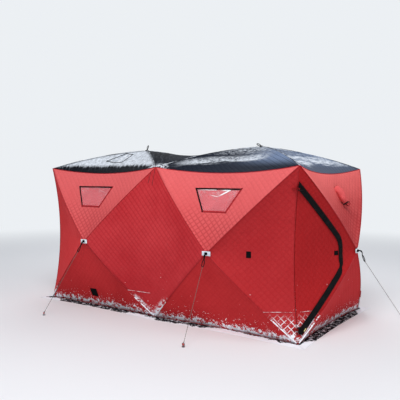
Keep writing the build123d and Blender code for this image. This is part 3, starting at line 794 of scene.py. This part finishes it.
front_wall = fan_place(hub["side", 1, -1], upright(1, -1))
cloth("patch_front", front_wall, webbing, front_face, ["black_tapes"], across=64, along=60, rise=0.0022,
      deep=0.0, thick=0.0020, keep=patch_walls(door_foot + front_in * 0.507 + upward * 0.853, front_in, front_face,
                                               0.050, 0.067))
cloth("patch_door", door_wall, webbing, facing, (), "door", 64, 60, rise=0.0030, deep=0.0, thick=0.0026,
      keep=patch_walls(on_door(0.618, 0.848), inward, facing, 0.056, 0.045))
low_vent = [Vector((-bay / 2 + x, 0, z)) for x, z in ((-0.135, 0.220), (-0.025, 0.224), (-0.022, 0.118),
                                                      (-0.130, 0.124))]
cloth("patch_low", fan_place(hub["side", -1, -1], base_side(-1, 0, -1)), webbing, Vector((0, -1, 0)),
      ["black_tapes"], across=64, along=60, rise=0.0018, deep=0.0, thick=0.0016,
      keep=outline_walls(low_vent, Vector((0, 1, 0))))

# Seams: a narrow folded welt covers every pole line and every sagging edge, as red as the cloth.
# Short rows of stitching close the darts at the feet of the middle square and of the door corner.


def welt(name, runs, dye, girth, body="root"):
    """Round cord or welt along each run, given as the few control points of a smooth line."""
    line = bpy.data.curves.new(name, "CURVE")
    line.dimensions = "3D"
    line.bevel_depth = girth
    line.bevel_resolution = 2
    line.resolution_u = 14
    line.use_fill_caps = True
    for run in runs:
        spline = line.splines.new("NURBS")
        spline.points.add(len(run) - 1)
        for knot, spot in zip(spline.points, run):
            knot.co = (*spot, 1)
        spline.order_u = min(3, len(run))
        spline.use_endpoint_u = True
    line.materials.append(dye.material)
    piece = bpy.data.objects.new(name, line)
    bpy.context.collection.objects.link(piece)
    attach(piece, body)
    return piece


def seam_run(line, rise=0.0005):
    p, q, m = (point + grow * rise for point, grow in line)
    return [p, m * 2 - (p + q) * 0.5, q]


def pole_run(top, corner, rise=0.0005, first=0.04, last=1.0):
    """Three control points give the same bow as the cloth has along its poles."""
    a, b = top[0] + top[1] * rise, corner[0] + corner[1] * rise
    lift = top[1].normalized() * (4 * pole_bow)
    near, far = a.lerp(b, first) + lift * (first * (1 - first)), a.lerp(b, last) + lift * (last * (1 - last))
    half = (first + last) / 2
    middle = a.lerp(b, half) + lift * (half * (1 - half))
    return [near, middle * 2 - (near + far) * 0.5, far]


def level_run(place, high, first, last):
    """A row of stitches at one height: for each share across, the place is found by halving."""
    run = []
    for i in range(5):
        a = first + (last - first) * i / 4
        low, top = 0.0, 1.0
        for _ in range(24):
            half = (low + top) / 2
            if place(a, half).z > high:
                low = half
            else:
                top = half
        run.append(place(a, low, 0.0015))
    return run


wall_runs, base_runs, roof_runs, rime_runs = [], [], [], []
for (sx, sy), corner in crown.items():
    foot_at = toe[sx, sy]
    for way in ((-1, 1) if sx == 0 else (sx,)):
        wall_runs += [pole_run(hub["side", way, sy], corner), pole_run(hub["side", way, sy], foot_at)]
        roof_runs.append(pole_run(hub["roof", way], corner))
        rime_runs.append(pole_run(hub["side", way, sy], foot_at, 0.004, 0.66, 0.985))
    if sx:
        wall_runs += [pole_run(hub["end", sx], corner), pole_run(hub["end", sx], foot_at)]
        rime_runs.append(pole_run(hub["end", sx], foot_at, 0.004, 0.66, 0.985))
        if (sx, sy) != (1, -1):
            wall_runs.append(seam_run(upright(sx, sy)))
for sy in (-1, 1):
    for left, right in ((-1, 0), (0, 1)):
        wall_runs.append(seam_run(eave_side(left, right, sy)))
        base_runs.append(seam_run(base_side(left, right, sy), 0.0015))
for sx in (-1, 1):
    wall_runs.append(seam_run(eave_end(sx)))
    base_runs.append(seam_run(base_end(sx), 0.0015))
welt("seam_welts", wall_runs, hem_dye, 0.0032)
welt("base_welts", base_runs, hem_dye, 0.0046)
rime_dye = Dye("rime_on_seams", "red_cloth", Base_Color=(0.80, 0.82, 0.88), Roughness=0.9, Specular_IOR_Level=0.2)
spot = rime_dye.place()
lumps = rime_dye.mottle(spot, 46, 4, 0.7)
rime_dye.relief(lumps, 0.006, 0.8)
patchy = (rime_dye.mottle(spot, 16, 4, 0.7) + (1 - rime_dye.axes(spot)[2].fade(0.04, 0.32)) * 0.20
          - rime_dye.axes(spot)[2].fade(0.24, 0.30) * 0.3).fade(0.52, 0.58)
rime_dye.wear(Base_Color=rime_dye.blend(patchy, (0.46, 0.026, 0.030), (0.94, 0.95, 1.0)))
welt("seam_rime", rime_runs, rime_dye, 0.0068)
roof_welt = Dye("roof_welt", "roof_cloth", Base_Color=(0.10, 0.12, 0.15), Roughness=0.9, Specular_IOR_Level=0.05)
spot = roof_welt.place()
roof_welt.relief(roof_welt.mottle(spot, 260, 3), 0.0008, 0.5)
roof_welt.wear(Base_Color=roof_welt.blend(roof_welt.mottle(spot, 6, 5, 0.7).fade(0.42, 0.6), (0.02, 0.025, 0.03),
                                          (0.70, 0.74, 0.80)))
welt("roof_welts", roof_runs, roof_welt, 0.0032)
middle_front = saddle_place(hub["side", -1, -1], crown[0, -1], hub["side", 1, -1], toe[0, -1])
thread_dye = Dye("stitch_line", "red_cloth", Base_Color=(0.50, 0.10, 0.11), Roughness=0.8)
spot = thread_dye.place()
thread_dye.wear(Base_Color=thread_dye.blend(thread_dye.mottle(spot, 14, 5, 0.75).fade(0.44, 0.60),
                                            (0.46, 0.055, 0.065), (0.84, 0.84, 0.90)))
thread_dye.relief(thread_dye.add("TexWave", None, {"Vector": spot, "Scale": 90}), 0.001, 0.7)
welt("dart_stitches", [level_run(front_wall, 0.300, 0.0, 0.168), level_run(middle_front, 0.300, 0.0, 0.190)],
     thread_dye, 0.0024)
welt("dart_stitches_leaf", [level_run(door_wall, 0.300, 0.045, 0.150)], thread_dye, 0.0024, "door")
under_windows = []
for (sx, sy) in window_slide:
    slope = fan_place(hub["side", sx, sy], eave_side(min(sx, 0), max(sx, 0), sy))
    under_windows.append(level_run(slope, 1.237, 0.32, 0.68))
welt("window_stitches", under_windows, hem_dye, 0.0017)
dark_thread = Dye("dark_stitch", "red_cloth", Base_Color=(0.10, 0.008, 0.010), Roughness=0.8)
spot = dark_thread.place()
dark_thread.wear(Base_Color=dark_thread.blend(dark_thread.mottle(spot, 60, 3), (0.05, 0.005, 0.007),
                                              (0.16, 0.012, 0.015)))
welt("crown_stitch", [[middle_front(1 - t, t + shift, 0.0016) for t, shift in ((0.012, 0.0), (0.06, 0.012),
                                                                               (0.11, 0.016))],
                      [middle_front(1 - t - 0.055, t, 0.0016) for t in (0.004, 0.035, 0.075)]], dark_thread, 0.0026)

# Vent: a short sleeve of thin red cloth sewn round a hole in the end wall, gathered near its mouth
# and closed with a black cord tied in a bow.
vent_root = Vector((half_l - 0.070, 0.080, wall_high - 0.070)).lerp(hub["end", 1][0] + Vector((0, 0.080, 0)), 0.22)
sleeve_dye = red_quilt("sleeve_cloth", (0.58, 0.070, 0.074), (0.78, 0.130, 0.132), 0.14)
stations = [((-0.014, 0, 0.016), (0.9, 0, -0.45), 0.060, 0.80), ((0.026, 0, -0.002), (0.75, 0, -0.75), 0.060, 0.80),
            ((0.048, 0, -0.028), (0.60, 0.01, -0.9), 0.058, 0.78),
            ((0.064, 0.001, -0.056), (0.5, 0.02, -1), 0.056, 0.76),
            ((0.078, 0.002, -0.084), (0.52, 0.03, -1), 0.053, 0.74),
            ((0.092, 0.003, -0.110), (0.62, 0.05, -1), 0.046, 0.74),
            ((0.104, 0.004, -0.130), (0.8, 0.05, -0.9), 0.031, 0.8),
            ((0.114, 0.005, -0.140), (0.9, 0.05, -0.8), 0.0165, 0.95),
            ((0.124, 0.005, -0.146), (0.95, 0.05, -0.7), 0.020, 0.9),
            ((0.136, 0.006, -0.153), (0.95, 0.05, -0.6), 0.030, 0.8),
            ((0.146, 0.006, -0.159), (0.95, 0.05, -0.6), 0.036, 0.8)]
bm = bmesh.new()
rim = None
count = 36
chart = bm.loops.layers.uv.new("cloth")
for order, (shift, aim, radius, flat) in enumerate(stations):
    aim = Vector(aim).normalized()
    across = Vector((0, 1, 0)).cross(aim).normalized()
    if rim is None:
        made = bmesh.ops.create_circle(bm, segments=count, radius=1)
        rim = made["verts"]
        rim_edges = list({e for v in rim for e in v.link_edges})
        turn_of = {v: i for i, v in enumerate(rim)}
    else:
        grown_ring = bmesh.ops.extrude_edge_only(bm, edges=rim_edges)["geom"]
        fresh = [g for g in grown_ring if isinstance(g, bmesh.types.BMVert)]
        pairs = {}
        for v in fresh:
            for e in v.link_edges:
                other = e.other_vert(v)
                if other in turn_of and other not in fresh:
                    pairs[v] = turn_of[other]
        rim = fresh
        turn_of = pairs
        rim_edges = [g for g in grown_ring if isinstance(g, bmesh.types.BMEdge)
                     and all(v in pairs for v in g.verts)]
    gather = max(0.0, 1 - abs(order - 7.5) / 3.5)
    for v in rim:
        angle = 2 * math.pi * turn_of[v] / count
        pleat = 1 + 0.16 * gather * math.cos(9 * angle + order * 0.3) + 0.10 * noise.noise(
            Vector((math.cos(angle) * 1.4, math.sin(angle) * 1.4, order * 0.55)))
        v.co = vent_root + Vector(shift) + Vector((0, 1, 0)) * (radius * pleat * math.cos(angle)) \
            + across * (radius * flat * pleat * math.sin(angle))
for face in bm.faces:
    for loop in face.loops:
        loop[chart].uv = (loop.vert.co.y, loop.vert.co.z)
bmesh.ops.recalc_face_normals(bm, faces=bm.faces[:])
sleeve = hang("vent_sleeve_cloth", bm, sleeve_dye)
skin = sleeve.modifiers.new("thickness", "SOLIDIFY")
skin.thickness = 0.0016
skin.offset = -1
soft = sleeve.modifiers.new("soft", "SUBSURF")
soft.levels = soft.render_levels = 1
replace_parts(sleeve, "vent_sleeve")
cord_dye = Dye("black_cord", "black_webbing", Base_Color=(0.005, 0.005, 0.006), Roughness=0.8,
               Specular_IOR_Level=0.12)
spot = cord_dye.place()
lay = cord_dye.add("TexWave", {"bands_direction": "DIAGONAL"}, {"Vector": spot, "Scale": 190})
cord_dye.relief(lay, 0.001, 0.8)
cord_dye.wear(Base_Color=cord_dye.blend(lay, (0.002, 0.002, 0.003), (0.010, 0.010, 0.012)))
tie_at, tie_aim = vent_root + Vector((0.114, 0.005, -0.140)), Vector((0.9, 0.05, -0.8)).normalized()
tie_a = Vector((0, 1, 0))
tie_b = tie_a.cross(tie_aim).normalized()
wraps = [tie_at + tie_aim * (0.0022 * i / 8 - 0.003) * 1.6 + (tie_a * math.cos(i * math.pi / 4)
                                                              + tie_b * math.sin(i * math.pi / 4)) * 0.0200
         for i in range(25)]
bow_from = tie_at - tie_a * 0.018
bows = [[bow_from, bow_from + Vector((0.020, -0.022, 0.020)), bow_from + Vector((0.052, -0.012, 0.018)),
         bow_from + Vector((0.030, -0.006, 0.000)), bow_from],
        [bow_from, bow_from + Vector((-0.006, -0.016, -0.014)), bow_from + Vector((-0.028, -0.014, -0.022)),
         bow_from + Vector((-0.016, -0.004, -0.006)), bow_from],
        [bow_from, bow_from + Vector((0.012, -0.010, -0.010)), bow_from + Vector((0.030, -0.016, -0.030))]]
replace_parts(welt("vent_bow", [wraps, *bows], cord_dye, 0.0034), "vent_tie")

# Hub plates: stiff reflective patches riveted over the six wall hubs, each with a pull strap through it.
# The strap ends in a cord loop that a guy rope holds down to an ice anchor.
plate_dye = Dye("reflective_plate", "reflective_film", Base_Color=(0.80, 0.85, 0.90), Roughness=0.3, Coat_Weight=0.4,
                Coat_Roughness=0.15)
spot = plate_dye.place()
cells = plate_dye.add("TexVoronoi", {"distance": "CHEBYCHEV"}, {"Vector": spot, "Scale": 240})
plate_dye.relief(cells, 0.0008, 0.5)
plate_dye.wear(Base_Color=plate_dye.blend(plate_dye.mottle(spot, 24, 4).fade(0.35, 0.7), (0.62, 0.72, 0.82),
                                          (0.90, 0.93, 0.95)), Roughness=0.2 + cells * 0.35)
anchor_spots = {("side", -1, -1): (-1.111, -1.613), ("side", 1, -1): (0.937, -1.613), ("end", 1): (2.500, 0.420),
                ("side", 1, 1): (1.111, 1.613), ("side", -1, 1): (-0.937, 1.613), ("end", -1): (-2.500, 0.420)}
ring_high, strap_reach, loop_long, loop_wide = 0.026, 0.070, 0.078, 0.026
plates, webs = bmesh.new(), bmesh.new()
loops, ropes = [], []
for key, (x, y) in anchor_spots.items():
    heart, axis = hub[key][0], hub[key][1].normalized()
    across = upward.cross(axis).normalized()
    block(plates, frame_at(heart + axis * 0.003, across, upward, axis), (0.105, 0.047, 0.0024), 0.0011)
    for way in (-1, 1):
        block(plates, frame_at(heart + axis * 0.0045 + across * 0.041 * way, across, upward, axis),
              (0.009, 0.009, 0.0022), 0.0009)
    knot_at = heart + axis * 0.010
    ring_at = Vector((x, y, ring_high))
    aim = (ring_at - knot_at).normalized()
    face_out = (axis - aim * axis.dot(aim)).normalized()
    beside = face_out.cross(aim).normalized()
    block(webs, frame_at(heart + axis * 0.009, across, upward, axis), (0.030, 0.024, 0.011), 0.0045, 3)
    block(webs, frame_at(heart + axis * 0.0145, (across + upward).normalized(), (upward - across).normalized(), axis),
          (0.030, 0.010, 0.0035), 0.0015)
    spring = 0.034 if key[0] == "end" else 0.011
    ends = [(knot_at + aim * t + face_out * (spring * lift), wide) for t, lift, wide in
            ((0.000, 0.2, 0.020), (0.008, 0.75, 0.020), (0.022, 1.0, 0.020), (0.044, 0.85, 0.018), (0.070, 0.4, 0.014))]
    first = [webs.verts.new(ends[0][0] + beside * ends[0][1] / 2 * way) for way in (-1, 1)]
    edge = webs.edges.new(first)
    for spot, wide in ends[1:]:
        made = bmesh.ops.extrude_edge_only(webs, edges=[edge])["geom"]
        edge = [g for g in made if isinstance(g, bmesh.types.BMEdge)][0]
        pair = [g for g in made if isinstance(g, bmesh.types.BMVert)]
        pair.sort(key=lambda v: v.co.dot(beside))
        for v, way in zip(pair, (-1, 1)):
            v.co = spot + beside * wide / 2 * way
    start = knot_at + aim * (strap_reach - 0.010) + face_out * (spring * 0.55)
    finish = knot_at + aim * (strap_reach - 0.006 + loop_long)
    reach = finish - start
    half = loop_wide / 2 - 0.002
    loops.append([start, start + reach * 0.18 + beside * half * 0.7, start + reach * 0.55 + beside * half * 1.35,
                  start + reach * 0.93 + beside * half * 1.1, finish + aim * 0.003,
                  start + reach * 0.93 - beside * half * 1.1, start + reach * 0.55 - beside * half * 1.35,
                  start + reach * 0.18 - beside * half * 0.7, start])
    ropes.append((finish - aim * 0.003, ring_at, aim, beside))
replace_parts(hang("hub_plates_reflective", plates, plate_dye), "hub_plates")
strap_piece = hang("strap_webs", webs, webbing)
ply = strap_piece.modifiers.new("ply", "SOLIDIFY")
ply.thickness = 0.003
ply.offset = 0
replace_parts(strap_piece, "pull_straps")
welt("strap_loops", loops, cord_dye, 0.0044)

# Guy ropes: thin two-strand cord, tight from each strap loop to a red toggle.
# The toggle is held in an anchor's ring.
rope_dye = Dye("guy_rope", "rope", Base_Color=(0.13, 0.11, 0.10), Roughness=0.85)
spot = rope_dye.place()
rope_dye.wear(Base_Color=rope_dye.blend(rope_dye.mottle(spot, 240, 3, 0.7), (0.07, 0.060, 0.055), (0.24, 0.21, 0.19)))
rope_dye.relief(rope_dye.mottle(spot, 900, 2), 0.0006, 0.7)
bm = bmesh.new()
knots = []
for top_end, low_end, aim, beside in ropes:
    third = aim.cross(beside)
    steps = int((low_end - top_end).length / 0.006)
    for strand in (0, 1):
        ring = bmesh.ops.create_circle(bm, segments=6, radius=0.0016)["verts"]
        bmesh.ops.transform(bm, matrix=frame_at(top_end + beside * (0.0014 if strand else -0.0014), beside, third, aim),
                            verts=ring)
        edges = list({e for v in ring for e in v.link_edges})
        for step in range(steps):
            made = bmesh.ops.extrude_edge_only(bm, edges=edges)["geom"]
            ring = [g for g in made if isinstance(g, bmesh.types.BMVert)]
            edges = [g for g in made if isinstance(g, bmesh.types.BMEdge) and all(v in set(ring) for v in g.verts)]
            at = top_end + (low_end - top_end) * ((step + 1) / steps)
            bmesh.ops.translate(bm, vec=(low_end - top_end) / steps, verts=ring)
            bmesh.ops.rotate(bm, cent=at, matrix=Matrix.Rotation(math.radians(50), 3, aim), verts=ring)
    for foot, length in ((top_end, 0.016), (low_end - aim * 0.026, 0.014)):
        knots.append([foot + aim * (length * i / 24) + (beside * math.cos(i * math.pi / 4)
                                                         + third * math.sin(i * math.pi / 4)) * 0.0042
                      for i in range(25)])
bmesh.ops.recalc_face_normals(bm, faces=bm.faces[:])
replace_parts(hang("guy_rope_strands", bm, rope_dye), "guy_ropes")
welt("rope_whippings", knots, rope_dye, 0.0015)

# Pull loops on the two roof hubs: black cord through a stitched foot.
# One stands up and one has fallen over.
feet, rings = bmesh.new(), []
for sx, lean in ((-1, Vector((0.30, 0.10, 0.95))), (1, Vector((-0.80, -0.10, 0.34)))):
    top = hub["roof", sx][0]
    lean = lean.normalized()
    beside = lean.cross(Vector((0, 1, 0))).normalized()
    block(feet, Matrix.Translation(top + Vector((0, 0, 0.005))), (0.034, 0.022, 0.006), 0.002)
    base = top + Vector((0, 0, 0.005))
    rings.append([base, base + lean * 0.030 + beside * 0.010, base + lean * 0.060 + beside * 0.008,
                  base + lean * 0.068, base + lean * 0.060 - beside * 0.008, base + lean * 0.030 - beside * 0.010,
                  base])
hang("roof_loop_feet", feet, webbing)
welt("roof_loops", rings, cord_dye, 0.0045)

# Snow skirt: a strip of black cloth sewn to the foot of each wall and laid out flat to be buried.
# Crusted snow covers it except close to the wall, where the black shows through.
skirt_dye = Dye("snow_skirt", "skirt_cloth", Base_Color=(0.02, 0.02, 0.022), Roughness=0.9, Specular_IOR_Level=0.06)
chart, spot = skirt_dye.place("UV"), skirt_dye.place()
share = skirt_dye.axes(chart)[1]
heap = skirt_dye.mottle(spot, 13, 5, 0.72)
px, py, _ = skirt_dye.axes(spot)
swept = px.fade(-1.70, -1.50) * (1 - px.fade(-0.50, -0.25)) * (1 - py.fade(0.0, 0.1))
swept = swept.most(px.fade(0.0, 0.15) * (1 - px.fade(0.65, 0.90)) * 0.8).most(
    (abs(px) - half_l).fade(-0.05, 0.0) * py.fade(-0.80, -0.65) * (1 - py.fade(0.55, 0.8)))
uneven = (skirt_dye.mottle(spot, 2.6, 3, 0.6) - 0.5) * 0.9
buried = (heap * 0.9 + share * 0.55 - swept * 0.56 + uneven).fade(0.60, 0.66)
buried = buried.most(skirt_dye.mottle(spot, 20, 4, 0.8).fade(0.54, 0.60))
skirt_dye.relief(heap + skirt_dye.mottle(spot, 60, 3) * 0.3, 0.012, 0.7)
skirt_dye.wear(Base_Color=skirt_dye.blend(buried, skirt_dye.blend(heap, (0.002, 0.002, 0.003), (0.016, 0.016, 0.020)),
                                          (0.86, 0.87, 0.92)))
skirt_in, skirt_out, skirt_declared = 0.012, 0.120, 0.140


def skirt(name, rim, edge, nodes):
    """rim and edge are the sagging lines at the wall and at the free side."""
    bm = bmesh.new()
    bmesh.ops.create_grid(bm, x_segments=90, y_segments=10, size=0.5)
    chart = bm.loops.layers.uv.new("cloth")
    shares = {v: (v.co.x + 0.5, v.co.y + 0.5) for v in bm.verts}
    for v, (a, b) in shares.items():
        v.co = on_seam(rim, a).lerp(on_seam(edge, a), b)
        heap_up = 0.5 + noise.noise(Vector((v.co.x * 9, v.co.y * 9, 1.7))) + 0.4 * noise.noise(v.co * 26)
        swell = math.sin(math.pi * min(1.0, b * 1.15))
        v.co.z = 0.0032 + max(0.0, heap_up) * 0.007 * swell * min(1, 12 * a, 12 - 12 * a)
    for face in bm.faces:
        for loop in face.loops:
            loop[chart].uv = shares[loop.vert]
    bm.normal_update()
    if sum(f.normal.z for f in bm.faces) < 0:
        bmesh.ops.reverse_faces(bm, faces=bm.faces[:])
    size = sum(f.calc_area() for f in bm.faces)
    piece = hang(name, bm, skirt_dye)
    ply = piece.modifiers.new("ply", "SOLIDIFY")
    ply.thickness = 0.003
    ply.offset = -1
    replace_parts(piece, *nodes)
    # skirt_declared holds a width a little over the 0.132 drawn, and size is this mesh's own area.
    long = (on_seam(edge, 1) - on_seam(edge, 0)).length


still = Vector((0, 0, 0))


def level_line(x1, y1, x2, y2, pull):
    return sag((Vector((x1, y1, 0)), still), (Vector((x2, y2, 0)), still), pull, still)


for sy in (-1, 1):
    for way in (-1, 1):
        y_in, y_out = sy * (half_w - skirt_in), sy * (half_w + skirt_out)
        pull = Vector((0, -sy * base_pull, 0))
        rim = level_line(0, y_in, way * (half_l - skirt_in), y_in, pull)
        edge = level_line(0, y_out, way * (half_l + skirt_out), y_out, pull)
        skirt("skirt_" + ("front" if sy < 0 else "back") + ("_left" if way < 0 else "_right"), rim, edge,
              ["skirt_sides"])
for sx in (-1, 1):
    x_in, x_out = sx * (half_l - skirt_in), sx * (half_l + skirt_out)
    pull = Vector((-sx * base_pull, 0, 0))
    rim = level_line(x_in, -half_w + skirt_in, x_in, half_w - skirt_in, pull)
    edge = level_line(x_out, -half_w - skirt_out, x_out, half_w + skirt_out, pull)
    skirt("skirt_end" + ("_left" if sx < 0 else "_right"), rim, edge, ["skirt_ends"])


# Frame and fittings: glass-fibre poles, redrawn with the bow they take under load, and the moulded hubs,
# pole pockets, toggles and steel anchors kept from the solid model, each in its own finish.
def finish(name, nodes, low, high, rough, scale=60, depth=0.0006, **facts):
    dye = Dye(name, None, Base_Color=low, Roughness=rough, **facts)
    spot = dye.place()
    worn = dye.mottle(spot, scale, 5, 0.65)
    dye.relief(worn + dye.mottle(spot, scale * 9, 2) * 0.3, depth, 0.5)
    dye.wear(Base_Color=dye.blend(worn.fade(0.35, 0.75), low, high), Roughness=rough - 0.1 + worn * 0.25)
    for node in nodes:
        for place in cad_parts[node].material_slots:
            place.material = dye.material
    return dye


rod_dye = finish("pole_glass_fibre", ["poles"], (0.030, 0.032, 0.036), (0.075, 0.080, 0.088), 0.35, 30, Coat_Weight=0.3)
rod_dye.slot = "pole_glassfibre"
rods = []
for key, (top, grow) in hub.items():
    axis = grow.normalized()
    if key[0] == "roof":
        tips = [crown[sx, sy][0] for sx in (0, key[1]) for sy in (-1, 1)]
    elif key[0] == "end":
        tips = [rim[key[1], sy][0] for rim in (crown, toe) for sy in (-1, 1)]
    else:
        tips = [rim[sx, key[2]][0] for rim in (crown, toe) for sx in (0, key[1])]
    for tip in tips:
        seat = tip + Vector((0, 0, 0.032 if tip.z < 0.1 else 0.0))
        rods.append(pole_run((top - axis * 0.046, axis), (seat - axis * 0.036, axis), 0.0, 0.02, 0.965))
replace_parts(welt("bowed_poles", rods, rod_dye, 0.0055), "poles")
finish("moulded_black", ["hub_blocks", "corner_pockets"], (0.014, 0.014, 0.016), (0.040, 0.040, 0.044), 0.5, 40)
finish("toggle_red", ["rope_toggles"], (0.46, 0.035, 0.030), (0.62, 0.070, 0.060), 0.3, 60, Coat_Weight=0.4)
finish("anchor_steel", ["ice_anchors"], (0.16, 0.16, 0.17), (0.34, 0.34, 0.36), 0.38, 80, Metallic=0.9)
